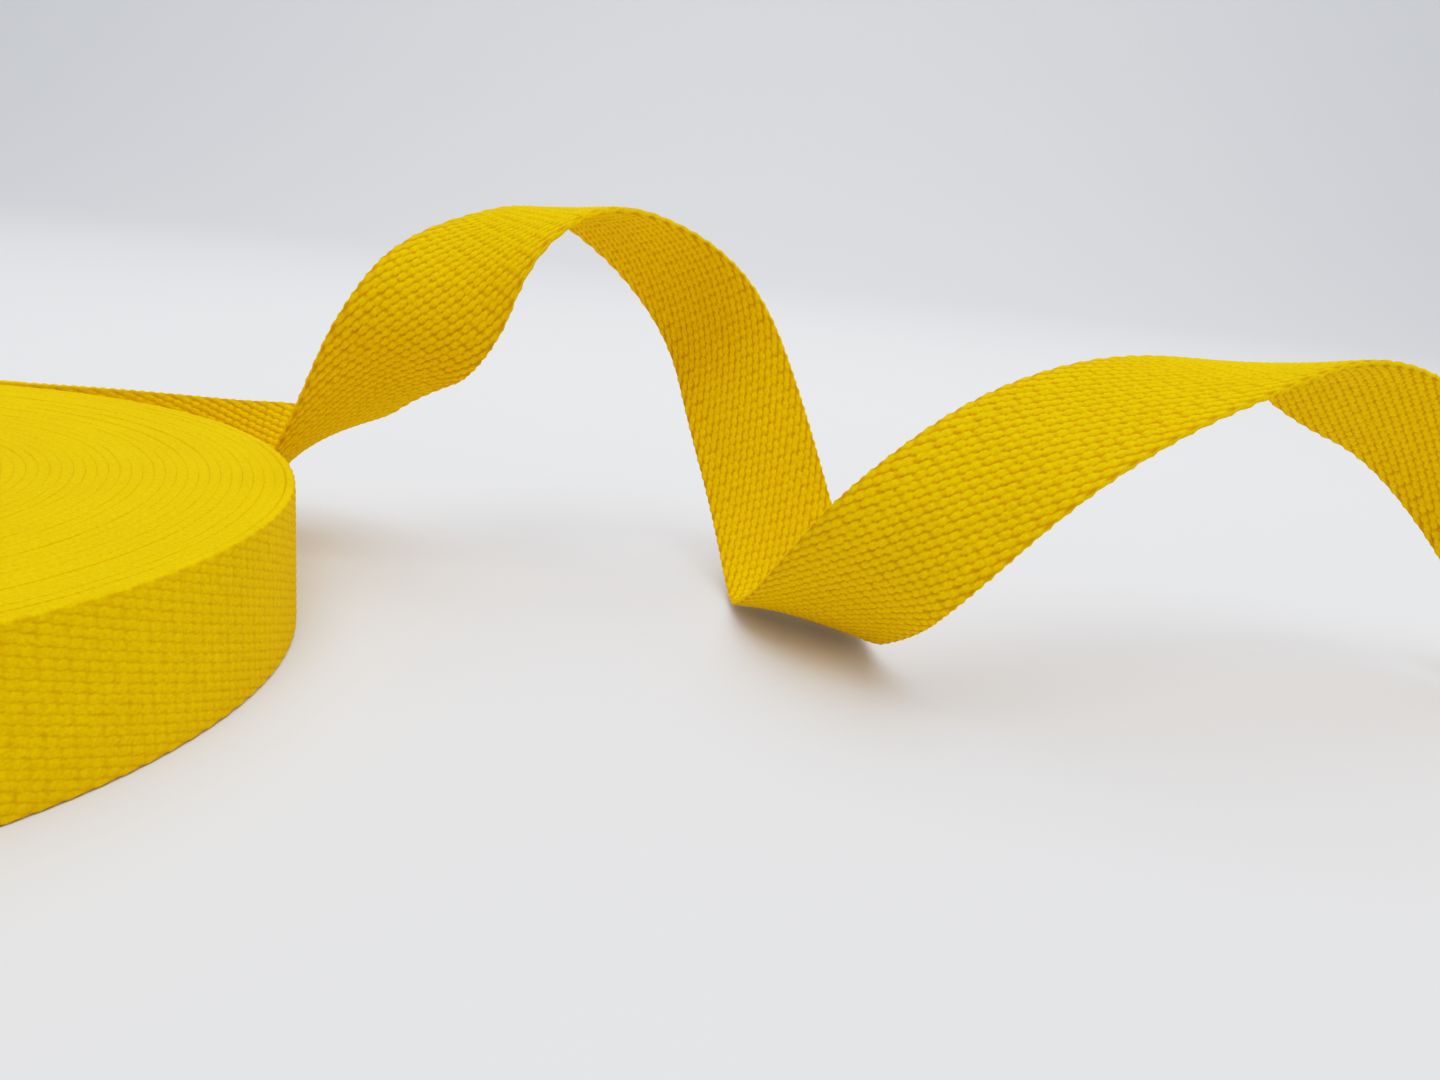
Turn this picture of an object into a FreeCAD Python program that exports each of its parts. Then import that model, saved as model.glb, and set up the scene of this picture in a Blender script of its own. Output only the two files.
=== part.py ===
import FreeCAD, Part
import math
import os

import Sketcher

# A roll of flat cotton belt webbing with its loose tail.
#
# The strip is wound on a cardboard core and the roll lies flat on the floor. The outermost turn
# peels off at the back of the roll, and the tail corkscrews over two arches to its cut end.
# Frame: millimetres, +Z up, origin on the floor at the middle of the core. The tail leaves
# towards +X, behind the roll (+Y).

# Driving dimensions: alias, value, meaning. Lengths are in millimetres and angles in degrees.
SIZES = (
    ("strap_width", 40.0, "width of the webbing, the usual width of a martial arts belt"),
    ("strap_thickness", 2.5, "thickness of the woven strip"),
    ("turn_pitch", 2.65, "radius gained by each turn of the roll"),
    ("roll_radius", 122.4, "outside of the roll"),
    ("core_bore", 19.0, "radius of the hole through the cardboard core, for a dispenser spindle"),
    ("core_wall", 3.0, "wall of the cardboard core"),
    ("core_recess", 1.0, "how far the core stops short of the webbing's edges"),
    ("takeoff_angle", 93.3, "where the tail leaves the roll, counted from +X"),
    ("lap_opening", 16.0, "gap in the outer turn's ring, where the tail peels away from it"),
    ("flex_gap", 3.0, "bare length of strip left at the take-off, where the strip flexes"),
)

# The tail's route: each point, and beside it the offset from the strip's middle to its left edge.
# The strip's middle passes near each point, which is the corner of two straight runs.
TAIL_ROUTE = (
    ((-7, 122, 21), (0, 0, -20)),
    ((9, 124, 21), (0, -2, -20)),
    ((40, 128, 21), (0, -7, -18)),
    ((72, 124, 23), (1, -11, -19)),
    ((98, 107, 35), (-12, -18, -2)),
    ((117, 92, 56), (-14, -14, 3)),
    ((135, 78, 78), (-18, -5, 12)),
    ((153, 88, 107), (-15, 15, 5)),
    ((173, 107, 118), (-13, 15, -1)),
    ((198, 130, 104), (-15, 12, -7)),
    ((218, 142, 83), (-15, 8, -11)),
    ((231, 131, 54), (-18, 2, -9)),
    ((242, 119, 28), (-18, 1, -8)),
    ((251, 99, 5), (-19, -2, -6)),
    ((255, 67, 6), (-20, -2, 6)),
    ((262, 39, 25), (-18, 2, 9)),
    ((271, 19, 46), (-14, 8, 13)),
    ((295, 21, 72), (-11, 14, 9)),
    ((321, 33, 86), (-10, 16, 5)),
    ((348, 47, 95), (-10, 17, 3)),
    ((376, 64, 97), (-10, 18, -3)),
    ((403, 78, 88), (-10, 13, -13)),
    ((431, 90, 76), (-10, 13, -11)),
    ((457, 94, 58), (-10, 12, -13)),
    ((476, 83, 33), (-14, 7, -14)),
    ((486, 61, 12), (-19, -1, -8)),
    ((491, 30, 2), (-20, -3, 0)),
    ((493, 14, 2), (-20, -3, 0)),
)

# Corners of the route where one length of the tail ends and the next begins. The two lengths of
# the first arch meet face to face. The straight bit after the fold on the floor, and after the
# second crest, is left open, because the strip flexes there.
CREST_1 = 8
FLOOR_FOLD = 13
CREST_2 = 20

ARC_SHARE = 0.45      # of the shorter run, taken up by the arc at a corner
VOLUME_SLACK = 0.06   # most that a stretch's volume may differ from section times length


def add_sizes(doc):
    """Put the driving dimensions in a spreadsheet, one alias each, and return them as numbers."""
    sheet = doc.addObject("Spreadsheet::Sheet", "Sizes")
    sheet.Label = "Sizes"
    for row, (alias, value, meaning) in enumerate(SIZES, start=1):
        sheet.set(f"A{row}", meaning)
        sheet.set(f"B{row}", str(value))
        sheet.setAlias(f"B{row}", alias)
    doc.recompute()
    return {alias: float(sheet.get(alias)) for alias, _, _ in SIZES}


def origin_plane(body, role):
    """The body's own origin plane that has this role."""
    for feature in body.Origin.OriginFeatures:
        if feature.Role == role:
            return feature
    raise RuntimeError(f"{body.Label} has no {role}")


def new_sketch(body, name, role):
    """An empty sketch on one of the body's origin planes."""
    sketch = body.newObject("Sketcher::SketchObject", name)
    sketch.AttachmentSupport = [(origin_plane(body, role), "")]
    sketch.MapMode = "FlatFace"
    return sketch


def bind(sketch, constraint, name, expression):
    """Add a constraint to the sketch and bind its value to the sheet."""
    index = sketch.addConstraint(constraint)
    sketch.renameConstraint(index, name)
    sketch.setExpression(f"Constraints.{name}", expression)


def ring_body(doc, label, inner, outer, height, base):
    """A flat ring about Z, padded from a sketch of its two circles. Each size is an expression."""
    body = doc.addObject("PartDesign::Body", label)
    body.Label = label
    sketch = new_sketch(body, label + "_circles", "XY_Plane")
    middle = FreeCAD.Vector(0, 0, 0)
    up = FreeCAD.Vector(0, 0, 1)
    for name, radius, first_guess in (("inner", inner, 10.0), ("outer", outer, 20.0)):
        circle = sketch.addGeometry(Part.Circle(middle, up, first_guess), False)
        sketch.addConstraint(Sketcher.Constraint("Coincident", circle, 3, -1, 1))
        bind(sketch, Sketcher.Constraint("Radius", circle, first_guess), name, radius)
    pad = body.newObject("PartDesign::Pad", label + "_pad")
    pad.Profile = (sketch, [""])
    pad.setExpression("Length", height)
    body.setExpression("Placement.Base.z", base)
    return body


def outer_turn_body(doc):
    """The outermost turn: the strip's section turned about Z, open where the tail peels away."""
    body = doc.addObject("PartDesign::Body", "outer_turn")
    body.Label = "outer_turn"
    sketch = new_sketch(body, "outer_turn_section", "XZ_Plane")
    corners = (
        FreeCAD.Vector(10, 0, 0),
        FreeCAD.Vector(12, 0, 0),
        FreeCAD.Vector(12, 5, 0),
        FreeCAD.Vector(10, 5, 0),
    )
    for start, end in zip(corners, corners[1:] + corners[:1]):
        sketch.addGeometry(Part.LineSegment(start, end), False)
    for edge in range(4):
        sketch.addConstraint(Sketcher.Constraint("Coincident", edge, 2, (edge + 1) % 4, 1))
    for edge, direction in enumerate(("Horizontal", "Vertical", "Horizontal", "Vertical")):
        sketch.addConstraint(Sketcher.Constraint(direction, edge))
    sketch.addConstraint(Sketcher.Constraint("PointOnObject", 0, 1, -1))
    bind(sketch, Sketcher.Constraint("DistanceX", 0, 1, 0, 2, 2.0), "thickness", "Sizes.strap_thickness")
    bind(sketch, Sketcher.Constraint("DistanceY", 1, 1, 1, 2, 5.0), "width", "Sizes.strap_width")
    bind(sketch, Sketcher.Constraint("DistanceX", -1, 1, 0, 2, 12.0), "radius", "Sizes.roll_radius")
    turn = body.newObject("PartDesign::Revolution", "outer_turn_revolution")
    turn.Profile = (sketch, [""])
    turn.ReferenceAxis = (sketch, ["V_Axis"])
    turn.setExpression("Angle", "360 - Sizes.lap_opening")
    body.Placement.Rotation = FreeCAD.Rotation(FreeCAD.Vector(0, 0, 1), 1.0)
    body.setExpression("Placement.Rotation.Angle", "Sizes.takeoff_angle")
    return body


def corner_arc(before, corner, after):
    """Where a corner's arc starts, its middle and its end, with the tangent at each, and its radius."""
    run_in = corner - before
    run_out = after - corner
    along_in = FreeCAD.Vector(run_in).normalize()
    along_out = FreeCAD.Vector(run_out).normalize()
    half_turn = along_in.getAngle(along_out) / 2
    reach = ARC_SHARE * min(run_in.Length, run_out.Length)
    radius = reach / math.tan(half_turn)
    inwards = FreeCAD.Vector(along_out - along_in).normalize()
    middle = corner + inwards * (radius / math.cos(half_turn) - radius)
    along_middle = FreeCAD.Vector(along_in + along_out).normalize()
    stations = (
        (corner - along_in * reach, along_in),
        (middle, along_middle),
        (corner + along_out * reach, along_out),
    )
    shares = (1 - reach / run_in.Length, reach / run_out.Length)
    return stations, shares, radius


def tail_sections(size):
    """The strip's section at every station of the route: middle, tangent and left-edge offset."""
    points = [FreeCAD.Vector(*point) for point, _ in TAIL_ROUTE]
    leans = [FreeCAD.Vector(*lean) for _, lean in TAIL_ROUTE]
    first_run = FreeCAD.Vector(points[1] - points[0]).normalize()
    sections = [(points[0] + first_run * size["flex_gap"], first_run, leans[0])]
    for at in range(1, len(points) - 1):
        stations, shares, radius = corner_arc(points[at - 1], points[at], points[at + 1])
        into = leans[at - 1] * (1 - shares[0]) + leans[at] * shares[0]
        out_of = leans[at] * (1 - shares[1]) + leans[at + 1] * shares[1]
        for (place, tangent), lean in zip(stations, (into, leans[at], out_of)):
            sections.append((place, tangent, lean))
        print(f"tail corner {at}: arc radius {radius:.0f} mm")
    last_run = FreeCAD.Vector(points[-1] - points[-2]).normalize()
    sections.append((points[-1], last_run, leans[-1]))
    return sections


def section_corners(section, size):
    """The four corners of the strip's section, square to the tangent, with the first one repeated."""
    place, tangent, lean = section
    across = FreeCAD.Vector(lean - tangent * lean.dot(tangent)).normalize()
    face = tangent.cross(across)
    half_width = across * (size["strap_width"] / 2)
    half_thickness = face * (size["strap_thickness"] / 2)
    corners = [
        place + half_width + half_thickness,
        place - half_width + half_thickness,
        place - half_width - half_thickness,
        place + half_width - half_thickness,
    ]
    return corners + corners[:1]


def ruled_solid(outlines):
    """The solid through a row of outlines: a ruled face on each side of each span, and two ends."""
    faces = [Part.Face(Part.makePolygon(outlines[0])), Part.Face(Part.makePolygon(outlines[-1]))]
    for near, far in zip(outlines, outlines[1:]):
        for side in range(4):
            near_edge = Part.makeLine(near[side], near[side + 1])
            far_edge = Part.makeLine(far[side], far[side + 1])
            faces.append(Part.makeRuledSurface(near_edge, far_edge))
    shell = Part.makeShell(faces)
    shell.sewShape()
    solid = Part.makeSolid(shell)
    if solid.Volume < 0:
        solid.reverse()
    return solid


def tail_stretch(doc, label, sections, size):
    """One length of the tail: a ruled solid through its sections, checked against their volume."""
    shape = ruled_solid([section_corners(section, size) for section in sections])
    length = sum((b[0] - a[0]).Length for a, b in zip(sections, sections[1:]))
    expected = length * size["strap_width"] * size["strap_thickness"]
    print(f"{label}: {length:.0f} mm long, volume {shape.Volume:.0f}, section times length {expected:.0f}")
    if abs(shape.Volume / expected - 1) > VOLUME_SLACK:
        raise RuntimeError(f"{label}: the volume is not the section times the length")
    feature = doc.addObject("Part::Feature", label)
    feature.Label = label
    feature.Shape = shape
    feature.Placement = FreeCAD.Placement()
    return feature


def arc_start(corner):
    """Index of the section where the arc of this corner starts."""
    return 1 + 3 * (corner - 1)


def tail_stretches(doc, size):
    """The tail's four lengths, up and down each arch."""
    sections = tail_sections(size)
    crest_1 = arc_start(CREST_1)
    fold = arc_start(FLOOR_FOLD + 1)
    crest_2 = arc_start(CREST_2 + 1)
    spans = (
        ("first_arch_rise", 0, crest_1 + 1),
        ("first_arch_fall", crest_1, fold),
        ("second_arch_rise", fold, crest_2),
        ("second_arch_fall", crest_2, len(sections)),
    )
    return [tail_stretch(doc, label, sections[first:last], size) for label, first, last in spans]


def check(doc, pieces):
    """Stop if any object failed, or if a piece has no valid shape."""
    for thing in doc.Objects:
        if "Invalid" in thing.State or "Error" in thing.State:
            raise RuntimeError(f"{thing.Label} failed: {thing.State}")
    for piece in pieces:
        if piece.Shape.isNull() or not piece.Shape.isValid():
            raise RuntimeError(f"{piece.Label} has no valid shape")


def write_steps(pieces):
    """Write each piece to parts/ under its own label."""
    os.makedirs("parts", exist_ok=True)
    for piece in pieces:
        piece.Shape.exportStep(os.path.join("parts", piece.Label + ".step"))
        box = piece.Shape.BoundBox
        print(f"{piece.Label}: z {box.ZMin:.2f} to {box.ZMax:.2f} mm, volume {piece.Shape.Volume:.0f}")


def main():
    doc = FreeCAD.newDocument("WebbingRoll")
    size = add_sizes(doc)
    core_outside = "Sizes.core_bore + Sizes.core_wall"
    pieces = [
        ring_body(
            doc,
            "core_tube",
            "Sizes.core_bore",
            core_outside,
            "Sizes.strap_width - 2 * Sizes.core_recess",
            "Sizes.core_recess",
        ),
        ring_body(
            doc,
            "wound_turns",
            core_outside,
            "Sizes.roll_radius - Sizes.turn_pitch",
            "Sizes.strap_width",
            "0",
        ),
        outer_turn_body(doc),
    ]
    pieces += tail_stretches(doc, size)
    doc.recompute()
    check(doc, pieces)
    write_steps(pieces)


main()
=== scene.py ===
"""Roll of woven cotton belt webbing, wound on edge, with its loose end drawn off in two twisted arches."""

import math

import bpy
import numpy as np
from mathutils import Matrix, Vector


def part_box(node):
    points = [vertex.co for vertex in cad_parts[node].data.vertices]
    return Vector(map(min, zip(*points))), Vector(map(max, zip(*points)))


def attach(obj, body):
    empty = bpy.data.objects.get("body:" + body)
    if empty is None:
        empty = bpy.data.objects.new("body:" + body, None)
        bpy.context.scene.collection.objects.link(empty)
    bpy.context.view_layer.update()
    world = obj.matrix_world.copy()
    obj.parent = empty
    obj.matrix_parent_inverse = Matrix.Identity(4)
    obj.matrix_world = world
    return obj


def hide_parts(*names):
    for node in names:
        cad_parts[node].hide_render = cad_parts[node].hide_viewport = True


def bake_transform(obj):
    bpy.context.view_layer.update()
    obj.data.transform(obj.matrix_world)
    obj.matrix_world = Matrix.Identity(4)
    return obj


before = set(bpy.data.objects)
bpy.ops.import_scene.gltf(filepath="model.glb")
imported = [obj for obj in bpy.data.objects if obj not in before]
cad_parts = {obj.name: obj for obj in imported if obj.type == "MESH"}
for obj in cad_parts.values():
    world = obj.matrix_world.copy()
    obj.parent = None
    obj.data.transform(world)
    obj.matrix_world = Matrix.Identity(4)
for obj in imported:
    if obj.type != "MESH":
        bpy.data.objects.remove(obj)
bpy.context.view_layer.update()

bl_info = {
    "name": "Webbing Roll",
    "version": (1, 0, 0),
    "blender": (4, 5, 0),
    "location": "View3D > Sidebar > Webbing Roll",
    "description": "Models a roll of woven belt webbing with a loose end",
    "category": "Object",
}

MM = 0.001
ROLL_LOW, ROLL_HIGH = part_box("outer_turn")
CORE_LOW, CORE_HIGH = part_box("core_tube")

# Each row is a point on the middle line of the loose end, in metres, and the way from it to the
# left selvedge, seen along the run from the roll to the cut end.
TAIL_ROUTE = (
    ((-0.0071, 0.1226, 0.021), (0.000, 0.000, -0.020)),
    ((0.009, 0.1242, 0.021), (0.000, -0.002, -0.020)),
    ((0.040, 0.128, 0.021), (0.000, -0.007, -0.018)),
    ((0.072, 0.124, 0.023), (0.001, -0.011, -0.019)),
    ((0.098, 0.107, 0.036), (-0.012, -0.017, -0.004)),
    ((0.117, 0.092, 0.057), (-0.014, -0.014, 0.001)),
    ((0.135, 0.078, 0.078), (-0.018, -0.005, 0.012)),
    ((0.153, 0.088, 0.106), (-0.015, 0.015, 0.003)),
    ((0.173, 0.107, 0.117), (-0.013, 0.015, -0.002)),
    ((0.198, 0.130, 0.104), (-0.015, 0.012, -0.007)),
    ((0.218, 0.142, 0.083), (-0.015, 0.008, -0.011)),
    ((0.231, 0.131, 0.054), (-0.018, 0.002, -0.009)),
    ((0.242, 0.119, 0.028), (-0.018, 0.001, -0.008)),
    ((0.251, 0.099, 0.005), (-0.019, -0.002, -0.006)),
    ((0.255, 0.067, 0.006), (-0.020, -0.002, 0.006)),
    ((0.262, 0.039, 0.025), (-0.018, 0.002, 0.009)),
    ((0.271, 0.019, 0.046), (-0.014, 0.008, 0.013)),
    ((0.295, 0.021, 0.072), (-0.011, 0.014, 0.009)),
    ((0.321, 0.033, 0.086), (-0.010, 0.016, 0.005)),
    ((0.348, 0.047, 0.093), (-0.010, 0.017, 0.001)),
    ((0.376, 0.064, 0.096), (-0.010, 0.018, -0.005)),
    ((0.403, 0.078, 0.087), (-0.010, 0.014, -0.0115)),
    ((0.431, 0.090, 0.076), (-0.0095, 0.015, -0.0095)),
    ((0.457, 0.094, 0.058), (-0.010, 0.012, -0.013)),
    ((0.476, 0.083, 0.033), (-0.014, 0.007, -0.014)),
    ((0.486, 0.061, 0.012), (-0.019, -0.001, -0.008)),
    ((0.491, 0.030, 0.002), (-0.020, -0.003, 0.000)),
    ((0.493, 0.014, 0.002), (-0.020, -0.003, 0.000)),
)

# Cords across the strap, and columns of mesh to each cord.
WARP_CORDS = 34
TAIL_QUADS_PER_CORD = 4
ROLL_QUADS_PER_CORD = 6
# Rows of mesh to each repeat of the weave.
TAIL_ROWS_PER_REPEAT = 7
OUTER_TURN_ROWS_PER_REPEAT = 8
WOUND_ROWS_PER_REPEAT = 4
# Rows where the loose end is parted into its three lengths, and the fewest rows in the last of them.
TAIL_PARTINGS = (329, 658)
LEAST_LAST_ROWS = 250
SPLINE_STEPS = 48

# Half the width of a warp cord, in cord pitches, where it is squeezed under and where it lies on top.
LEAST_SPREAD, MOST_SPREAD = 0.62, 1.05
# A cord's back falls away as this power of the way out to its side, and ends this many half widths out.
BACK_POWER = 2.8
SIDE_LIMIT = 1.2
# How far a cord is out of step with the weave, in repeats: at its start, and as it wanders on from there.
STEP_SPREAD = 0.03
STEP_WANDER, STEP_WANDER_LENGTH = 0.03, 31 * MM
# How far a cord wanders sideways.
SIDE_WANDER, SIDE_WANDER_LENGTH = 0.05 * MM, 13 * MM
# Floats swing more or less by chance. The levels drawn for a cord come round again after this many.
FLOAT_LEVELS = 97
LOWEST_FLOAT, HIGHEST_FLOAT = 0.95, 1.03
# The relief, which sets the painted shade in the creases, goes from 0 to 1 over this share of the crown's
# height.
RELIEF_SHARE = 0.42

# Room for the weft's loops at the two selvedges, how far the loops stand out, and how far they dip between.
SELVEDGE_ROOM = 1.24 * MM
LOOP_OUT, LOOP_DIP = 0.62 * MM, 0.44 * MM
# The rounded selvedge: its points, and the width of cloth from one to the next.
CAP_ANGLES = np.radians((45.0, 90.0, 135.0))
CAP_STEP = 0.3 * MM

# On the roll: how full the loops are on the lower and the upper selvedge, and how slack the floats are.
ROLL_LOOPS = (0.9, 0.2)
ROLL_SLACK = 0.48
# The floats rise to their full height over this much of the loose end.
SLACK_EASE = 80 * MM
# The innermost turn stands this far off the core.
CORE_GAP = 0.1 * MM
# The plain walls that are hidden between turns stop this far short of meeting.
WALL_GAP = 0.005 * MM
# The end of the wound strap leans out from the roll, and climbs to meet the loose end.
LEAN_LENGTH, LEAN_OUT = 18 * MM, 0.4 * MM
CLIMB_LENGTH, CLIMB_RISE = 90 * MM, 1.0 * MM

# The selvedges on the two ends of the roll: how far their shoulders drop, how much each pick shows, and
# how far they lie inside the strap's full width above and below.
SHOULDER_DROP = 0.14 * MM
PICK_RISE = 0.05 * MM
UPPER_INSET, LOWER_INSET = 0.25 * MM, 0.05 * MM
# The upper selvedges wander up and down: how far, and over what length of strap in metres.
SELVEDGE_WANDER = ((0.08 * MM, 0.41), (0.05 * MM, 0.137), (0.04 * MM, 0.023))

# The floor, the line where it starts to curve up, and the curve and the backdrop above it.
FLOOR_SIZE = 8.0
FLOOR_MIDDLE = 0.2
FLOOR_BACK = 1.4
SWEEP_RADIUS = 1.0
BACKDROP_HEIGHT = 3.0
# Name, place, the point it faces, size, and share of the key light's power.
LIGHTS = (
    ("overhead_panel", (0.25, 0.4, 1.3), (0.25, 0.4, 0.0), 1.8, 1.0),
    ("front_softbox", (0.3, -1.04, 2.19), (0.25, 0.05, 0.05), 1.3, 1.4),
    ("backdrop_softbox", (0.3, 0.3, 1.2), (0.3, 1.4, 0.9), 1.0, 0.35),
)
# How the camera holds back its brightest tones, as light in against light out. It holds back the red of
# the yellow cloth before the green, so the cloth is lemon in full light and amber in shade.
TONE_CURVE = ((0.0, 0.0), (0.45, 0.45), (0.7, 0.635), (1.0, 0.78), (1.4, 0.9), (2.0, 1.0))


# ---------------------------------------------------------------- settings


class WebbingSettings(bpy.types.PropertyGroup):
    """Sizes and colours of the webbing and of the roll it is wound into"""

    width: bpy.props.FloatProperty(
        name="Strap width",
        description="Width of the webbing from selvedge to selvedge",
        default=ROLL_HIGH[2] - ROLL_LOW[2],
        min=0.01,
        unit="LENGTH",
    )
    thickness: bpy.props.FloatProperty(
        name="Strap thickness",
        description="Thickness of the webbing over its warp cords",
        default=2.5 * MM,
        min=0.5 * MM,
        unit="LENGTH",
    )
    turn_pitch: bpy.props.FloatProperty(
        name="Turn pitch",
        description="Growth of the roll's radius with each turn",
        default=2.65 * MM,
        min=0.5 * MM,
        unit="LENGTH",
    )
    takeoff_radius: bpy.props.FloatProperty(
        name="Take-off radius",
        description="Radius of the strap's middle where the loose end leaves the roll",
        default=122.4 * MM,
        unit="LENGTH",
    )
    takeoff_angle: bpy.props.FloatProperty(
        name="Take-off angle",
        description="Where round the roll the loose end leaves it",
        default=math.radians(93.284),
        subtype="ANGLE",
    )
    weave_repeat: bpy.props.FloatProperty(
        name="Weave repeat",
        description="Length along a warp cord from one float to the next",
        default=5.9 * MM,
        unit="LENGTH",
    )
    cord_swing: bpy.props.FloatProperty(
        name="Cord swing",
        description="How far a warp cord rises and sinks as it passes over and under the weft",
        default=0.36 * MM,
        unit="LENGTH",
    )
    cord_crown: bpy.props.FloatProperty(
        name="Cord crown",
        description="Height of a warp cord's rounded back over its edges",
        default=0.5 * MM,
        unit="LENGTH",
    )
    float_skew: bpy.props.FloatProperty(
        name="Float skew",
        description="How far the yarn's twist sets each float askew",
        default=0.2 * MM,
        unit="LENGTH",
    )
    core_wall: bpy.props.FloatProperty(
        name="Core wall",
        description="Thickness of the core tube's wall",
        default=3 * MM,
        unit="LENGTH",
    )
    rim_radius: bpy.props.FloatProperty(
        name="Rim radius",
        description="Roundness of the core tube's rims",
        default=0.35 * MM,
        unit="LENGTH",
    )
    body_colour: bpy.props.StringProperty(
        name="Yarn colour",
        description="Colour of the crowns of the yarn, as sRGB hex",
        default="F8C300",
    )
    # Painted shade: the yarn in the creases is coloured darker and warmer, standing in for the shade that
    # falls there.
    crease_shade_colour: bpy.props.StringProperty(
        name="Crease shade colour",
        description="Colour of the yarn down in the creases, as sRGB hex",
        default="D29200",
    )
    board_colour: bpy.props.StringProperty(
        name="Core board colour",
        description="Colour of the cardboard core tube, as sRGB hex",
        default="B08F66",
    )


class StageSettings(bpy.types.PropertyGroup):
    """Camera, floor and light"""

    camera_place: bpy.props.FloatVectorProperty(
        name="Camera place",
        description="Where the camera stands",
        default=(0.2271, -0.2519, 0.1255),
        size=3,
        subtype="XYZ",
        unit="LENGTH",
    )
    camera_pitch: bpy.props.FloatProperty(
        name="Camera pitch",
        description="How far the camera looks down",
        default=math.radians(16.88),
        subtype="ANGLE",
    )
    camera_roll: bpy.props.FloatProperty(
        name="Camera roll",
        description="How far the camera leans to the left",
        default=math.radians(6.04),
        subtype="ANGLE",
    )
    lens: bpy.props.FloatProperty(
        name="Lens",
        description="Focal length on a 36 mm wide sensor, in millimetres",
        default=28.955,
        unit="CAMERA",
    )
    floor_colour: bpy.props.StringProperty(
        name="Floor colour",
        description="Colour of the floor, as sRGB hex",
        default="EDEEEE",
    )
    fill_colour: bpy.props.StringProperty(
        name="Fill colour",
        description="Colour of the even light from all round, as sRGB hex",
        default="EEF2FF",
    )
    fill_light: bpy.props.FloatProperty(
        name="Fill light",
        description="Strength of the even light from all round",
        default=0.6,
    )
    key_power: bpy.props.FloatProperty(
        name="Key light",
        description="Power of the large soft light overhead",
        default=12.5,
        unit="POWER",
    )


# ---------------------------------------------------------------- materials


def linear(hex_code):
    """An sRGB hex colour as linear RGBA."""
    values = [int(hex_code[i : i + 2], 16) / 255 for i in (0, 2, 4)]
    return tuple(v / 12.92 if v <= 0.04045 else ((v + 0.055) / 1.055) ** 2.4 for v in values) + (1.0,)


def add_node(tree, kind, values=None, links=None, **settings):
    """Adds one node to a tree, with its settings, its socket values and its incoming links."""
    item = tree.nodes.new(kind)
    for key, value in settings.items():
        setattr(item, key, value)
    for socket, value in (values or {}).items():
        item.inputs[socket].default_value = value
    for socket, source in (links or {}).items():
        tree.links.new(source, item.inputs[socket])
    return item


def new_material(name):
    """An empty node material and its tree."""
    material = bpy.data.materials.new(name)
    material.use_nodes = True
    material.node_tree.nodes.clear()
    return material, material.node_tree


def finish_material(tree, shader):
    """Joins the shader to the material's output."""
    add_node(tree, "ShaderNodeOutputMaterial", links={"Surface": shader.outputs["BSDF"]})


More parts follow.
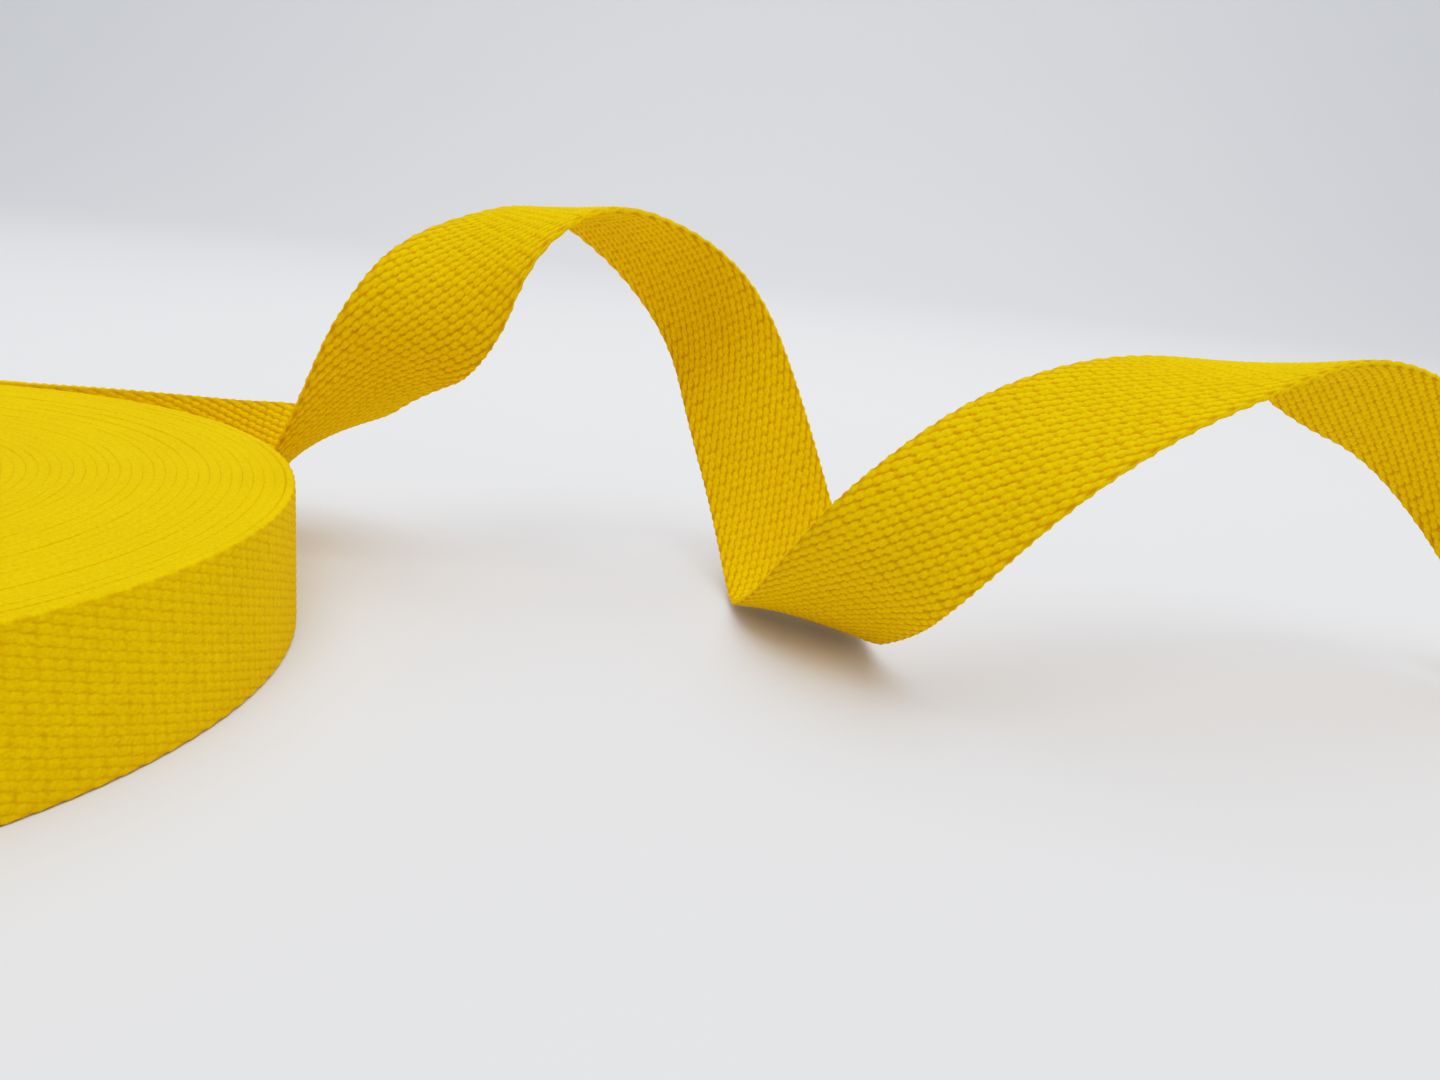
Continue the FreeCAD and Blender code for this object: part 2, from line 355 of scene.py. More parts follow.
def webbing_material(settings):
    """Dyed cotton webbing, woven from thick plied yarn: dead matt, with painted shade that colours the
    creases between the floats darker and warmer, faint strand lines along each cord and a soft bloom of
    fibre ends."""
    name = "dyed_cotton_webbing"
    if name in bpy.data.materials:
        return bpy.data.materials[name]
    material, tree = new_material(name)
    cloth = add_node(tree, "ShaderNodeUVMap", uv_map="weave").outputs["UV"]
    relief = add_node(tree, "ShaderNodeAttribute", attribute_name="relief").outputs["Fac"]
    place = add_node(tree, "ShaderNodeTexCoord").outputs["Object"]
    # Strands of the plied yarn, 0.42 mm apart, lying 24 degrees off the cord's own line.
    strand_place = add_node(
        tree,
        "ShaderNodeMapping",
        values={"Rotation": (0.0, 0.0, math.radians(66)), "Scale": (1 / (0.42 * MM),) * 3},
        links={"Vector": cloth},
        vector_type="POINT",
    )
    strands = add_node(
        tree,
        "ShaderNodeTexWave",
        values={"Scale": 1 / math.pi, "Distortion": 1.6, "Detail": 2.0, "Detail Scale": 0.6},
        links={"Vector": strand_place.outputs["Vector"]},
        bands_direction="X",
    )
    # Loose fibre ends, about 0.3 mm across.
    fuzz = add_node(
        tree,
        "ShaderNodeTexNoise",
        values={"Scale": 1 / (0.3 * MM), "Detail": 3.0, "Roughness": 0.65},
        links={"Vector": place},
    )
    # Nap of the yarn, in flecks about 0.9 mm across.
    nap = add_node(
        tree,
        "ShaderNodeTexNoise",
        values={"Scale": 1 / (0.9 * MM), "Detail": 2.0, "Roughness": 0.7},
        links={"Vector": place},
    )
    # Slow changes in the dye, about 25 mm across.
    dye = add_node(
        tree,
        "ShaderNodeTexNoise",
        values={"Scale": 1 / (25 * MM), "Detail": 2.0},
        links={"Vector": place},
    )
    # The relief sets how much of the body colour shows over the painted crease shade, and the fuzz breaks
    # up its edges.
    fuzz_share = add_node(
        tree,
        "ShaderNodeMath",
        values={1: 0.22, 2: -0.11},
        links={0: fuzz.outputs["Fac"]},
        operation="MULTIPLY_ADD",
    )
    colour_share = add_node(
        tree,
        "ShaderNodeMath",
        links={0: relief, 1: fuzz_share.outputs["Value"]},
        operation="ADD",
        use_clamp=True,
    )
    # Painted shade: the crease shade colour down in the creases, the body colour on the crowns.
    yarn = add_node(
        tree,
        "ShaderNodeMix",
        values={6: linear(settings.crease_shade_colour), 7: linear(settings.body_colour)},
        links={0: colour_share.outputs["Value"]},
        data_type="RGBA",
    )
    dye_level = add_node(
        tree,
        "ShaderNodeMapRange",
        values={"From Min": 0.3, "From Max": 0.7, "To Min": 0.96, "To Max": 1.03},
        links={"Value": dye.outputs["Fac"]},
    )
    nap_level = add_node(
        tree,
        "ShaderNodeMapRange",
        values={"From Min": 0.35, "From Max": 0.65, "To Min": 0.88, "To Max": 1.08},
        links={"Value": nap.outputs["Fac"]},
    )
    level = add_node(
        tree,
        "ShaderNodeMath",
        links={0: dye_level.outputs["Result"], 1: nap_level.outputs["Result"]},
        operation="MULTIPLY",
    )
    colour = add_node(
        tree,
        "ShaderNodeHueSaturation",
        links={"Color": yarn.outputs[2], "Value": level.outputs["Value"]},
    )
    strand_bump = add_node(
        tree,
        "ShaderNodeBump",
        values={"Strength": 0.5, "Distance": 0.08 * MM},
        links={"Height": strands.outputs["Fac"]},
    )
    fuzz_bump = add_node(
        tree,
        "ShaderNodeBump",
        values={"Strength": 0.55, "Distance": 0.12 * MM},
        links={"Height": fuzz.outputs["Fac"], "Normal": strand_bump.outputs["Normal"]},
    )
    shader = add_node(
        tree,
        "ShaderNodeBsdfPrincipled",
        values={
            "Roughness": 0.92,
            "IOR": 1.45,
            "Specular IOR Level": 0.03,
            "Sheen Weight": 0.05,
            "Sheen Roughness": 0.5,
            "Sheen Tint": linear("FFCC00"),
        },
        links={"Base Color": colour.outputs["Color"], "Normal": fuzz_bump.outputs["Normal"]},
    )
    finish_material(tree, shader)
    return material


def core_board_material(settings):
    """Grey-brown paper board, wound in a spiral and glued: the plies show as rings on the cut ends, one
    butt seam climbs round the walls, and the face has short paper fibres."""
    material, tree = new_material("spiral_wound_board")
    place = add_node(tree, "ShaderNodeTexCoord").outputs["Object"]
    axes = add_node(tree, "ShaderNodeSeparateXYZ", links={"Vector": place})
    flat = add_node(tree, "ShaderNodeCombineXYZ", links={"X": axes.outputs["X"], "Y": axes.outputs["Y"]})
    radius = add_node(tree, "ShaderNodeVectorMath", links={0: flat.outputs["Vector"]}, operation="LENGTH")
    # Plies of board 0.5 mm thick.
    ply = add_node(
        tree,
        "ShaderNodeMath",
        values={1: 2 * math.pi / (0.5 * MM)},
        links={0: radius.outputs["Value"]},
        operation="MULTIPLY",
    )
    ply_line = add_node(tree, "ShaderNodeMath", links={0: ply.outputs["Value"]}, operation="SINE")
    # One seam climbing 60 mm in each turn.
    turn = add_node(
        tree,
        "ShaderNodeMath",
        links={0: axes.outputs["Y"], 1: axes.outputs["X"]},
        operation="ARCTAN2",
    )
    climb = add_node(
        tree,
        "ShaderNodeMath",
        values={1: 2 * math.pi / (60 * MM)},
        links={0: axes.outputs["Z"]},
        operation="MULTIPLY",
    )
    helix = add_node(
        tree,
        "ShaderNodeMath",
        links={0: climb.outputs["Value"], 1: turn.outputs["Value"]},
        operation="SUBTRACT",
    )
    seam_wave = add_node(tree, "ShaderNodeMath", links={0: helix.outputs["Value"]}, operation="COSINE")
    seam = add_node(
        tree,
        "ShaderNodeMapRange",
        values={"From Min": 0.9985, "From Max": 0.9998},
        links={"Value": seam_wave.outputs["Value"]},
    )
    # Paper fibres, 0.4 mm wide and several times as long.
    fibre_place = add_node(
        tree,
        "ShaderNodeMapping",
        values={"Scale": (1 / (0.4 * MM), 1 / (0.4 * MM), 1 / (1.6 * MM))},
        links={"Vector": place},
        vector_type="POINT",
    )
    fibres = add_node(
        tree,
        "ShaderNodeTexNoise",
        values={"Scale": 1.0, "Detail": 4.0, "Roughness": 0.6},
        links={"Vector": fibre_place.outputs["Vector"]},
    )
    pale = linear(settings.board_colour)
    dark = tuple(v * 0.55 for v in pale[:3]) + (1.0,)
    board = add_node(
        tree,
        "ShaderNodeMix",
        values={6: dark, 7: pale},
        links={0: fibres.outputs["Fac"]},
        data_type="RGBA",
    )
    seamed = add_node(
        tree,
        "ShaderNodeMix",
        values={7: tuple(v * 0.5 for v in dark[:3]) + (1.0,)},
        links={0: seam.outputs["Result"], 6: board.outputs[2]},
        data_type="RGBA",
    )
    ply_bump = add_node(
        tree,
        "ShaderNodeBump",
        values={"Strength": 0.35, "Distance": 0.1 * MM},
        links={"Height": ply_line.outputs["Value"]},
    )
    fibre_bump = add_node(
        tree,
        "ShaderNodeBump",
        values={"Strength": 0.4, "Distance": 0.08 * MM},
        links={"Height": fibres.outputs["Fac"], "Normal": ply_bump.outputs["Normal"]},
    )
    shader = add_node(
        tree,
        "ShaderNodeBsdfPrincipled",
        values={"Roughness": 0.85, "IOR": 1.5, "Specular IOR Level": 0.3},
        links={"Base Color": seamed.outputs[2], "Normal": fibre_bump.outputs["Normal"]},
    )
    finish_material(tree, shader)
    return material


def floor_material(settings):
    """Matt painted board: an even pale face with a barely visible mottle."""
    material, tree = new_material("matt_painted_board")
    place = add_node(tree, "ShaderNodeTexCoord").outputs["Object"]
    mottle = add_node(
        tree,
        "ShaderNodeTexNoise",
        values={"Scale": 6.0, "Detail": 3.0},
        links={"Vector": place},
    )
    pale = linear(settings.floor_colour)
    colour = add_node(
        tree,
        "ShaderNodeMix",
        values={6: tuple(v * 0.985 for v in pale[:3]) + (1.0,), 7: pale},
        links={0: mottle.outputs["Fac"]},
        data_type="RGBA",
    )
    shader = add_node(
        tree,
        "ShaderNodeBsdfPrincipled",
        values={"Roughness": 0.9, "IOR": 1.5, "Specular IOR Level": 0.1},
        links={"Base Color": colour.outputs[2]},
    )
    finish_material(tree, shader)
    return material


# ---------------------------------------------------------------- webbing


def spline_line(points):
    """The points that a smooth NURBS line passes through, for one set of control points."""
    curve = bpy.data.curves.new("line", "CURVE")
    curve.dimensions = "3D"
    curve.resolution_u = SPLINE_STEPS
    spline = curve.splines.new("NURBS")
    spline.points.add(len(points) - 1)
    for point, place in zip(spline.points, points):
        point.co = (*place, 1.0)
    spline.order_u = 3
    spline.use_endpoint_u = True
    holder = bpy.data.objects.new("line", curve)
    mesh = bpy.data.meshes.new_from_object(holder)
    line = np.empty(len(mesh.vertices) * 3)
    mesh.vertices.foreach_get("co", line)
    bpy.data.objects.remove(holder)
    bpy.data.curves.remove(curve)
    bpy.data.meshes.remove(mesh)
    return line.reshape(-1, 3)


def unit(vectors):
    """The rows of an array, each made one long."""
    return vectors / np.linalg.norm(vectors, axis=1)[:, None]


def eased(share):
    """A share from 0 to 1 that starts and stops gently."""
    return share**2 * (3 - 2 * share)


def row_frames(middle, left):
    """Across and upward directions for each row of a strap, from its middle line and its left selvedge."""
    along = unit(np.gradient(middle, axis=0))
    across = unit(left - (left * along).sum(1)[:, None] * along)
    return across, np.cross(across, along)


def tail_rows(settings):
    """Length along, middle, across and up for every row of the loose end."""
    middle = spline_line([place for place, _ in TAIL_ROUTE])
    edge = spline_line([tuple(a + b for a, b in zip(place, left)) for place, left in TAIL_ROUTE])
    steps = np.linalg.norm(np.diff(middle, axis=0), axis=1)
    length = np.concatenate([[0.0], np.cumsum(steps)])
    step = settings.weave_repeat / TAIL_ROWS_PER_REPEAT
    run = np.arange(0.0, length[-1], step)
    places = np.stack([np.interp(run, length, middle[:, k]) for k in range(3)], 1)
    lefts = np.stack([np.interp(run, length, (edge - middle)[:, k]) for k in range(3)], 1)
    across, up = row_frames(places, lefts)
    return run, places, across, up


def roll_rows(settings, run):
    """Middle, across and up for rows of the wound strap. run is the length from the take-off, negative
    back into the roll."""
    back = -run
    start, pitch = settings.takeoff_radius, settings.turn_pitch
    turned = (start - np.sqrt(start**2 - pitch * back / math.pi)) * 2 * math.pi / pitch
    radius = start - pitch * turned / (2 * math.pi)
    lean = np.clip(1 - back / LEAN_LENGTH, 0, 1)
    radius = radius + LEAN_OUT * lean**2
    rise = CLIMB_RISE * eased(np.clip(1 - back / CLIMB_LENGTH, 0, 1))
    angle = settings.takeoff_angle + turned
    middle = np.stack([radius * np.cos(angle), radius * np.sin(angle), settings.width / 2 + rise], 1)
    along = np.stack([np.sin(angle), -np.cos(angle), np.zeros_like(angle)], 1)
    outward = np.stack([np.cos(angle), np.sin(angle), np.zeros_like(angle)], 1)
    slope = 2 * LEAN_OUT / LEAN_LENGTH * lean
    along = unit(along + slope[:, None] * outward)
    across = np.tile((0.0, 0.0, -1.0), (len(run), 1))
    return middle, across, np.cross(across, along)


def float_heights(settings, run, across, face, slack):
    """Height of the cloth over its middle plane, and its relief from 0 in the creases to 1 on the crowns,
    which sets how much painted shade the creases get.
    Each warp cord swings over and under the weft, half a repeat out of step with its neighbours. It spreads
    to a wide pillow where it is on top and is squeezed thin where it dives, and the twist of the yarn sets
    every float askew. slack is 1 in the loose end, and less where the strap is wound tight and its floats
    are pulled flat."""
    pitch = cord_pitch(settings)
    half = WARP_CORDS * pitch / 2
    swing, crown = settings.cord_swing, settings.cord_crown
    top = settings.thickness / 2
    rng = np.random.default_rng(11)
    start = rng.uniform(-STEP_SPREAD, STEP_SPREAD, WARP_CORDS)
    drift = rng.uniform(0, 2 * math.pi, (2, WARP_CORDS))
    level = rng.uniform(LOWEST_FLOAT, HIGHEST_FLOAT, (WARP_CORDS, FLOAT_LEVELS))
    # The weft holds the two cords beside each selvedge back from their full swing.
    from_edge = np.minimum(np.arange(WARP_CORDS), np.arange(WARP_CORDS)[::-1])
    edge_hold = np.clip((from_edge + 1) / 3, 0, 1)
    nearest = np.clip(np.floor((across + half) / pitch), 0, WARP_CORDS - 1).astype(int)
    height = np.full((len(run), len(across)), top - 2 * swing - crown)
    rows = run[:, None]
    for step in (-1, 0, 1):
        cord = nearest + step
        real = (cord >= 0) & (cord < WARP_CORDS)
        cord = np.clip(cord, 0, WARP_CORDS - 1)
        turn = rows / settings.weave_repeat + cord / 2 + start[cord]
        turn = turn + STEP_WANDER * np.sin(rows / STEP_WANDER_LENGTH + drift[0, cord])
        turn = turn + (0.5 if face < 0 else 0.0)
        float_number = np.floor(2 * turn + 0.5).astype(int)
        centre = -half + (cord + 0.5) * pitch
        centre = centre + SIDE_WANDER * np.sin(rows / SIDE_WANDER_LENGTH + drift[1, cord])
        centre = centre + face * settings.float_skew * np.sin(2 * math.pi * turn)
        lift = np.cos(2 * math.pi * turn)
        reach = pitch * (LEAST_SPREAD + (MOST_SPREAD - LEAST_SPREAD) * (0.5 + 0.5 * lift))
        side = np.abs((across - centre) / reach)
        ridge = 1 - side**BACK_POWER
        rise = swing * edge_hold[cord] * lift * level[cord, float_number % FLOAT_LEVELS]
        over = top - swing - crown + rise + crown * ridge
        height = np.where(real & (side < SIDE_LIMIT) & (over > height), over, height)
    # Painted shade: the lower the relief, the more the material darkens the cloth in the creases.
    relief = np.clip((height - top + crown) / (RELIEF_SHARE * crown), 0, 1)
    return top - (top - height) * slack, 1 - slack * (1 - relief)


def cord_pitch(settings):
    """Distance between warp cords, which leaves room for the weft's loops at the selvedges."""
    return (settings.width - SELVEDGE_ROOM) / WARP_CORDS


def selvedge_bulge(settings, run, loop):
    """How far the weft's loops stand out from the last cord: one loop for each pick. loop is how full they
    are, from 0 where the selvedge is pressed smooth to 1."""
    return LOOP_OUT - LOOP_DIP * loop * np.sin(2 * math.pi * run / settings.weave_repeat) ** 2


def woven_sections(settings, run, faces, quads_per_cord, slack, loops):
    """The closed outline of every row as places across and heights, with its relief and cloth width. A
    face that is hidden between turns is plain."""
    pitch = cord_pitch(settings)
    half = WARP_CORDS * pitch / 2
    fine = np.linspace(-half, half, WARP_CORDS * quads_per_cord + 1)
    coarse = np.linspace(-half, half, 5)
    ones = np.ones((len(run), 1))
    cap_widths = CAP_STEP * np.arange(1, len(CAP_ANGLES) + 1)
    side = {}
    for face in (1, -1):
        if face in faces:
            side[face] = (fine, *float_heights(settings, run, fine, face, slack))
        else:
            flat = np.full((len(run), len(coarse)), settings.turn_pitch / 2 - WALL_GAP)
            side[face] = (coarse, flat, np.full_like(flat, 0.5))
    cap_out, cap_up = np.sin(CAP_ANGLES), np.cos(CAP_ANGLES)
    across, heights, reliefs, widths = [], [], [], []
    for face in (1, -1):
        places, height, relief = side[face]
        other = side[-face][1]
        bulge = selvedge_bulge(settings, run, loops[0 if face > 0 else 1])[:, None]
        low = other[:, -1:]
        if face < 0:
            places, height, relief = places[::-1], height[:, ::-1], relief[:, ::-1]
            low = other[:, :1]
        top = height[:, -1:]
        middle, size = (top - low) / 2, (top + low) / 2
        across += [ones * places, face * half + face * bulge * cap_out]
        heights += [face * height, face * (middle + size * cap_up)]
        reliefs += [relief, np.ones((len(run), len(CAP_ANGLES)))]
        widths += [ones * places, ones * face * (half + cap_widths)]
    return [np.concatenate(part, 1) for part in (across, heights, reliefs, widths)]


def outer_turn_length(settings):
    """Length of strap in one whole turn at the outside of the roll, in whole rows of the weave."""
    step = settings.weave_repeat / OUTER_TURN_ROWS_PER_REPEAT
    length = 2 * math.pi * settings.takeoff_radius - math.pi * settings.turn_pitch
    return round(length / step) * step


def wound_sections(settings, run):
    """The outline of each row of the inner turns: plain walls, and selvedges with soft shoulders whose
    height wanders a little from turn to turn."""
    half_thick = settings.turn_pitch / 2 - WALL_GAP
    edge = np.array((-1.0, -0.86, -0.5, 0.0, 0.5, 0.86, 1.0))
    drop = edge**2 * SHOULDER_DROP
    rng = np.random.default_rng(5)
    wander = np.zeros_like(run)
    for size, period in SELVEDGE_WANDER:
        wander = wander + size * np.sin(2 * math.pi * run / period + rng.uniform(0, 6.28))
    pick = PICK_RISE * np.cos(2 * math.pi * run / (settings.weave_repeat / 2))
    half = settings.width / 2
    ones = np.ones((len(run), 1))
    high = (half + wander - UPPER_INSET + pick)[:, None] - drop
    low = (half + pick - LOWER_INSET)[:, None] - drop
    # Across points down, so the upper selvedge is on the minus side.
    across = np.concatenate([low[:, ::-1], -high], 1)
    heights = np.concatenate([ones * edge[::-1] * half_thick, ones * edge * half_thick], 1)
    # Painted shade: the yarn is coloured a little darker towards each turn's two faces, so faint lines show
    # between the turns on the roll's ends.
    relief = ones * (1 - edge**6 * 0.1)
    reliefs = np.concatenate([relief, relief], 1)
    widths = np.concatenate([half + ones * edge * half_thick, -half - ones * edge * half_thick], 1)
    return across, heights, reliefs, widths


def strip_mesh(name, rows, sections, run, material):
    """A closed strap built row by row, with the weave's own map, its relief and its two cut ends."""
    middle, across_way, up_way = rows
    across, heights, reliefs, widths = sections
    count, ring = across.shape
    sideways = across[:, :, None] * across_way[:, None]
    points = middle[:, None] + sideways + heights[:, :, None] * up_way[:, None]
    first = np.arange(count - 1)[:, None] * ring
    column = np.arange(ring)[None]
    after = (column + 1) % ring
    corner_sets = (first + column, first + after, first + ring + after, first + ring + column)
    quads = np.stack(corner_sets, 2).reshape(-1, 4)
    start_cap = list(range(ring))[::-1]
    end_cap = list(range((count - 1) * ring, count * ring))
    mesh = bpy.data.meshes.new(name)
    mesh.from_pydata(points.reshape(-1, 3).tolist(), [], quads.tolist() + [start_cap, end_cap])
    lengths = np.repeat(run, ring)
    wide = widths.reshape(-1)
    corners = np.empty(len(mesh.loops), dtype=np.int32)
    mesh.loops.foreach_get("vertex_index", corners)
    cloth = np.stack([lengths[corners], wide[corners]], 1).astype(np.float32)
    # The outline closes on itself, so the last column's outer corners carry the width on past the seam.
    seam = np.arange(len(quads)).reshape(count - 1, ring)[:, -1]
    cloth[seam * 4 + 1, 1] = widths[:-1, -1] - CAP_STEP
    cloth[seam * 4 + 2, 1] = widths[1:, -1] - CAP_STEP
    mesh.uv_layers.new(name="weave").data.foreach_set("uv", cloth.reshape(-1))
    # The relief goes with the mesh to set the painted shade in the creases.
    relief = mesh.attributes.new("relief", "FLOAT", "POINT")
    relief.data.foreach_set("value", reliefs.reshape(-1).astype(np.float32))
    mesh.materials.append(material)
    mesh.validate()
    piece = bpy.data.objects.new(name, mesh)
    bpy.context.scene.collection.objects.link(piece)
    bpy.ops.object.select_all(action="DESELECT")
    piece.select_set(True)
    bpy.context.view_layer.objects.active = piece
    bpy.ops.object.shade_smooth_by_angle(angle=math.radians(80))
    return piece


def select_faces(piece, wanted):
    """Selects the faces that pass a test, while the piece is in edit mode."""
    bpy.ops.object.mode_set(mode="OBJECT")
    for face in piece.data.polygons:
        face.select = wanted(face)
    bpy.ops.object.mode_set(mode="EDIT")


# ---------------------------------------------------------------- operators


class WEBBING_OT_place_camera(bpy.types.Operator):
    """Set up the camera, low in front of the loose end and leaning a little"""

    bl_idname = "webbing_roll.place_camera"
    bl_label = "Place Camera"

    def execute(self, context):
        settings = context.scene.webbing_stage
        data = bpy.data.cameras.new("camera")
        data.sensor_width = 36.0
        data.lens = settings.lens
        data.clip_start = 0.01
        camera = bpy.data.objects.new("camera", data)
        context.scene.collection.objects.link(camera)
        camera.matrix_world = (
            Matrix.Translation(Vector(settings.camera_place))
            @ Matrix.Rotation(math.pi / 2 - settings.camera_pitch, 4, "X")
            @ Matrix.Rotation(settings.camera_roll, 4, "Z")
        )
        context.scene.camera = camera
        return {"FINISHED"}


class WEBBING_OT_lay_loose_end(bpy.types.Operator):
    """Lay the loose end in its two twisted arches, as three lengths that meet between the joints"""

    bl_idname = "webbing_roll.lay_loose_end"
    bl_label = "Lay Loose End"

    def execute(self, context):
        settings = context.scene.webbing
        material = webbing_material(settings)
        run, middle, across, up = tail_rows(settings)
        cuts = (0, *TAIL_PARTINGS, len(run) - 1)
        if cuts[-1] - cuts[-2] < LEAST_LAST_ROWS:
            raise RuntimeError("the last length of the loose end is too short")
        # The floats are still pulled flat where the strap leaves the roll, and rise as it loosens.
        ease = eased(np.clip((run - run[0]) / SLACK_EASE, 0, 1))[:, None]
        slack = ROLL_SLACK + (1 - ROLL_SLACK) * ease
        pieces = []
        for number, name in enumerate(("tail_from_roll", "tail_floor_fold", "tail_free_end")):
            part = slice(cuts[number], cuts[number + 1] + 1)
            rows = (middle[part], across[part], up[part])
            sections = woven_sections(
                settings, run[part], (1, -1), TAIL_QUADS_PER_CORD, slack[part], (1.0, 1.0)
            )
            piece = strip_mesh(name, rows, sections, run[part], material)
            pieces.append(piece)
        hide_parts("first_arch_rise")
        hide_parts("first_arch_fall", "second_arch_rise")
        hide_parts("second_arch_fall")
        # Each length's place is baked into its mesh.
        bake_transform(pieces[0])
        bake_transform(pieces[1])
        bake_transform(pieces[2])
        return {"FINISHED"}


class WEBBING_OT_wind_outer_turn(bpy.types.Operator):
    """Wind the roll's outer turn, whose woven face shows all round"""

    bl_idname = "webbing_roll.wind_outer_turn"
    bl_label = "Wind Outer Turn"

    def execute(self, context):
        settings = context.scene.webbing
        material = webbing_material(settings)
        step = settings.weave_repeat / OUTER_TURN_ROWS_PER_REPEAT
        total = round(outer_turn_length(settings) / step)
        names = ("outer_turn_left", "outer_turn_front", "outer_turn_right")
        ends = [round(total * share) for share in (0, 1 / 3, 2 / 3, 1)]
        for number, name in enumerate(names):
            run = -np.arange(ends[number], ends[number + 1] + 1)[::-1] * step
            sections = woven_sections(
                settings, run, (-1,), ROLL_QUADS_PER_CORD, ROLL_SLACK, ROLL_LOOPS
            )
            piece = strip_mesh(name, roll_rows(settings, run), sections, run, material)
            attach(piece, "roll")
            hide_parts("outer_turn")
        return {"FINISHED"}


class WEBBING_OT_wind_inner_turns(bpy.types.Operator):
    """Wind the turns inside the outer one, down to the core, with their selvedges on the roll's two ends"""

    bl_idname = "webbing_roll.wind_inner_turns"
    bl_label = "Wind Inner Turns"

    def execute(self, context):
        settings = context.scene.webbing
        material = webbing_material(settings)
        step = settings.weave_repeat / WOUND_ROWS_PER_REPEAT
        first = outer_turn_length(settings)
        inner = CORE_HIGH[0] + settings.thickness / 2 + CORE_GAP
        last = math.pi * (settings.takeoff_radius**2 - inner**2) / settings.turn_pitch
        count = int((last - first) / step)
        names = ("wound_turns_outer", "wound_turns_middle", "wound_turns_inner")
        ends = [round(count * share) for share in (0, 1 / 3, 2 / 3, 1)]
        for number, name in enumerate(names):
            run = -(first + np.arange(ends[number], ends[number + 1] + 1)[::-1] * step)
            sections = wound_sections(settings, run)
            piece = strip_mesh(name, roll_rows(settings, run), sections, run, material)
            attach(piece, "roll")
            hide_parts("wound_turns")
        return {"FINISHED"}


class WEBBING_OT_make_core_tube(bpy.types.Operator):
    """Make the cardboard tube that the webbing is wound on"""

    bl_idname = "webbing_roll.make_core_tube"
    bl_label = "Make Core Tube"

    def execute(self, context):
        settings = context.scene.webbing
        bpy.ops.object.select_all(action="DESELECT")
        bpy.ops.mesh.primitive_cylinder_add(
            vertices=128,
            radius=CORE_HIGH[0],
            depth=CORE_HIGH[2] - CORE_LOW[2],
            location=(0, 0, (CORE_HIGH[2] + CORE_LOW[2]) / 2),
        )
        piece = context.object
        piece.name = piece.data.name = "core_board_tube"
        bpy.ops.object.transform_apply(location=True)
        bpy.ops.object.mode_set(mode="EDIT")
        bpy.ops.mesh.select_mode(type="FACE")
        select_faces(piece, lambda face: abs(face.normal.z) > 0.9)
        bpy.ops.mesh.inset(thickness=settings.core_wall)
        bpy.ops.mesh.bridge_edge_loops()
        bpy.ops.mesh.select_all(action="SELECT")
        bpy.ops.mesh.normals_make_consistent(inside=False)
        bpy.ops.mesh.select_all(action="DESELECT")
        bpy.ops.object.mode_set(mode="OBJECT")
        rounded = piece.modifiers.new("rounded_rims", "BEVEL")
        rounded.width = settings.rim_radius
        rounded.segments = 3
        rounded.limit_method = "ANGLE"
        rounded.angle_limit = math.radians(50)
        bpy.ops.object.modifier_apply(modifier=rounded.name)
        bpy.ops.object.shade_smooth_by_angle(angle=math.radians(35))
        piece.data.materials.append(core_board_material(settings))
        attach(piece, "roll")
        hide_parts("core_tube")
        return {"FINISHED"}


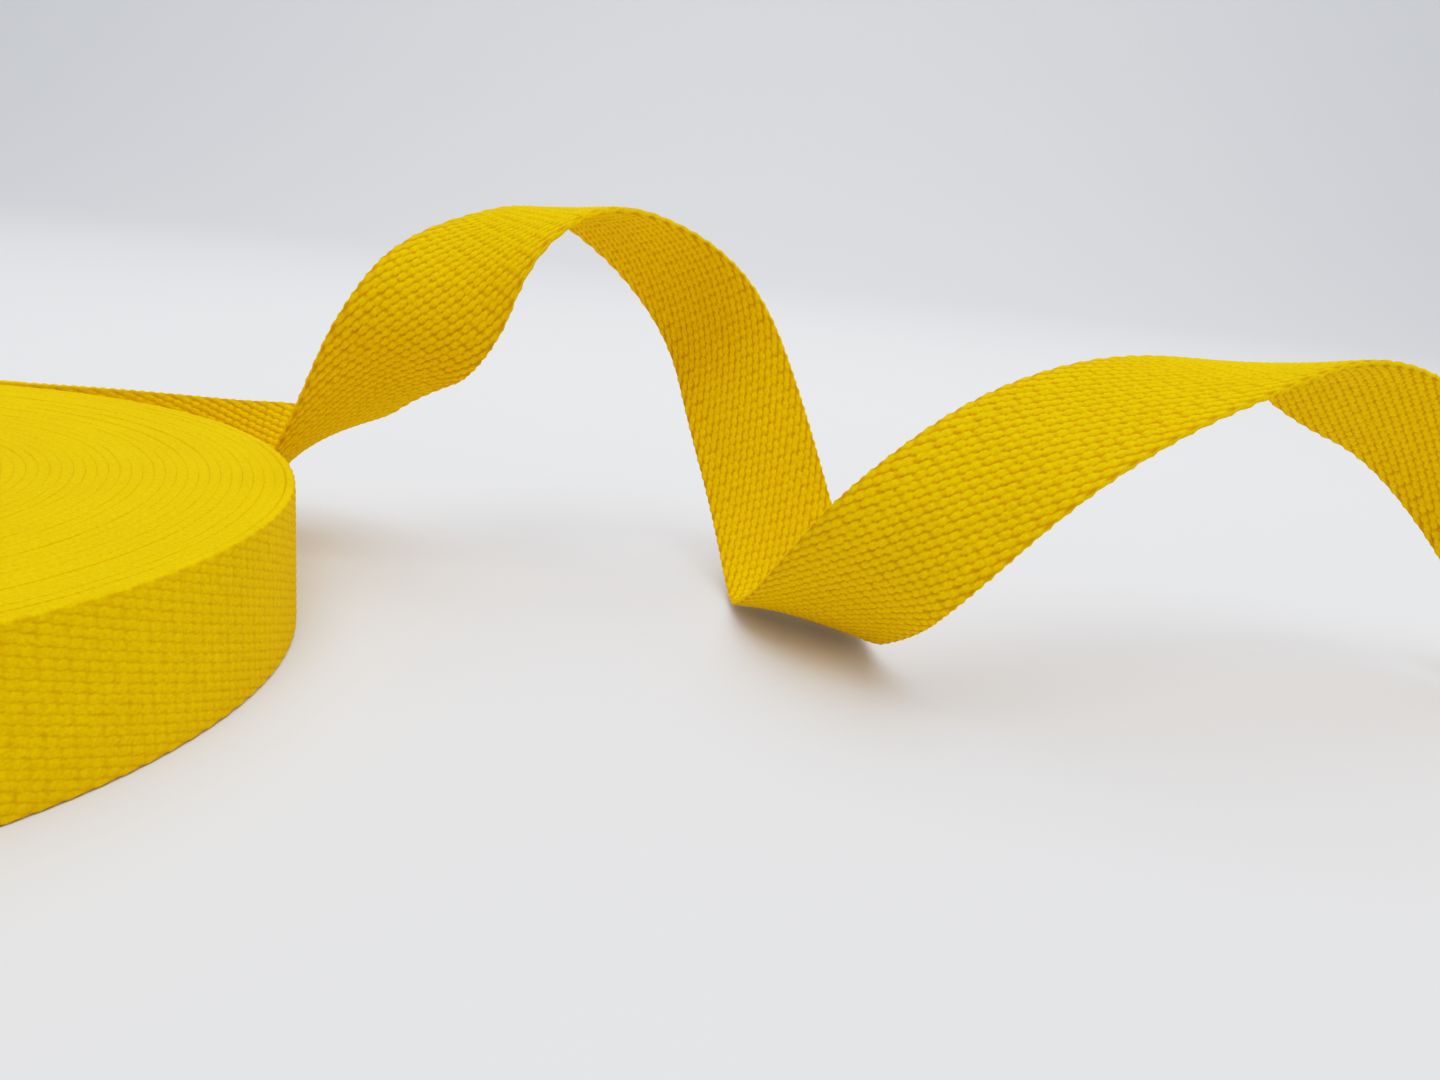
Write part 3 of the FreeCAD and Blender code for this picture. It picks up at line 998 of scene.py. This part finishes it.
class WEBBING_OT_build_stage(bpy.types.Operator):
    """Lay the pale floor that curves up behind, and set the soft studio light and the tone curve"""

    bl_idname = "webbing_roll.build_stage"
    bl_label = "Build Stage"

    def execute(self, context):
        settings = context.scene.webbing_stage
        bpy.ops.object.select_all(action="DESELECT")
        bpy.ops.mesh.primitive_plane_add(
            size=FLOOR_SIZE, location=(FLOOR_MIDDLE, FLOOR_BACK - FLOOR_SIZE / 2, 0.0)
        )
        floor = context.object
        floor.name = floor.data.name = "pale_floor"
        bpy.ops.object.transform_apply(location=True)
        bpy.ops.object.mode_set(mode="EDIT")
        bpy.ops.mesh.select_mode(type="EDGE")
        bpy.ops.mesh.select_all(action="DESELECT")
        bpy.ops.object.mode_set(mode="OBJECT")
        corners = floor.data.vertices
        for edge in floor.data.edges:
            edge.select = all(corners[i].co.y > FLOOR_BACK - 0.1 for i in edge.vertices)
        bpy.ops.object.mode_set(mode="EDIT")
        bpy.ops.mesh.spin(
            steps=24,
            angle=-math.pi / 2,
            center=(FLOOR_MIDDLE, FLOOR_BACK, SWEEP_RADIUS),
            axis=(1, 0, 0),
        )
        bpy.ops.mesh.extrude_region_move(TRANSFORM_OT_translate={"value": (0, 0, BACKDROP_HEIGHT)})
        bpy.ops.mesh.select_all(action="SELECT")
        bpy.ops.mesh.normals_make_consistent(inside=False)
        bpy.ops.object.mode_set(mode="OBJECT")
        bpy.ops.object.shade_smooth()
        floor.data.materials.append(floor_material(settings))

        world = bpy.data.worlds.new("studio")
        context.scene.world = world
        world.use_nodes = True
        world.node_tree.nodes.clear()
        glow = add_node(
            world.node_tree,
            "ShaderNodeBackground",
            values={"Color": linear(settings.fill_colour), "Strength": settings.fill_light},
        )
        add_node(world.node_tree, "ShaderNodeOutputWorld", links={"Surface": glow.outputs["Background"]})

        for name, place, aim, size, share in LIGHTS:
            light = bpy.data.lights.new(name, "AREA")
            light.size = size
            light.energy = settings.key_power * share
            lamp = bpy.data.objects.new(name, light)
            context.scene.collection.objects.link(lamp)
            turn = (Vector(aim) - Vector(place)).to_track_quat("-Z", "Y")
            lamp.matrix_world = Matrix.Translation(Vector(place)) @ turn.to_matrix().to_4x4()

        view = context.scene.view_settings
        view.view_transform = "Standard"
        view.use_curve_mapping = True
        view.curve_mapping.clip_max_x = TONE_CURVE[-1][0]
        # The fourth curve is the one that red, green and blue share.
        curve = view.curve_mapping.curves[3]
        curve.points[1].location = TONE_CURVE[-1]
        for place in TONE_CURVE[1:-1]:
            curve.points.new(*place)
        view.curve_mapping.update()
        return {"FINISHED"}


OPERATORS = (
    WEBBING_OT_place_camera,
    WEBBING_OT_lay_loose_end,
    WEBBING_OT_wind_outer_turn,
    WEBBING_OT_wind_inner_turns,
    WEBBING_OT_make_core_tube,
    WEBBING_OT_build_stage,
)


class WEBBING_PT_sidebar(bpy.types.Panel):
    """Lists the steps that build the roll"""

    bl_idname = "WEBBING_PT_sidebar"
    bl_label = "Webbing Roll"
    bl_space_type = "VIEW_3D"
    bl_region_type = "UI"
    bl_category = "Webbing Roll"

    def draw(self, context):
        for step in OPERATORS:
            self.layout.operator(step.bl_idname)


CLASSES = (WebbingSettings, StageSettings, *OPERATORS, WEBBING_PT_sidebar)


def register():
    """Adds the settings, the steps and the panel."""
    for item in CLASSES:
        bpy.utils.register_class(item)
    bpy.types.Scene.webbing = bpy.props.PointerProperty(type=WebbingSettings)
    bpy.types.Scene.webbing_stage = bpy.props.PointerProperty(type=StageSettings)


def unregister():
    """Takes them away again."""
    del bpy.types.Scene.webbing_stage
    del bpy.types.Scene.webbing
    for item in reversed(CLASSES):
        bpy.utils.unregister_class(item)


def main():
    """Builds everything in order."""
    register()
    for step in OPERATORS:
        group, action = step.bl_idname.split(".")
        getattr(getattr(bpy.ops, group), action)()


if __name__ == "__main__":
    main()
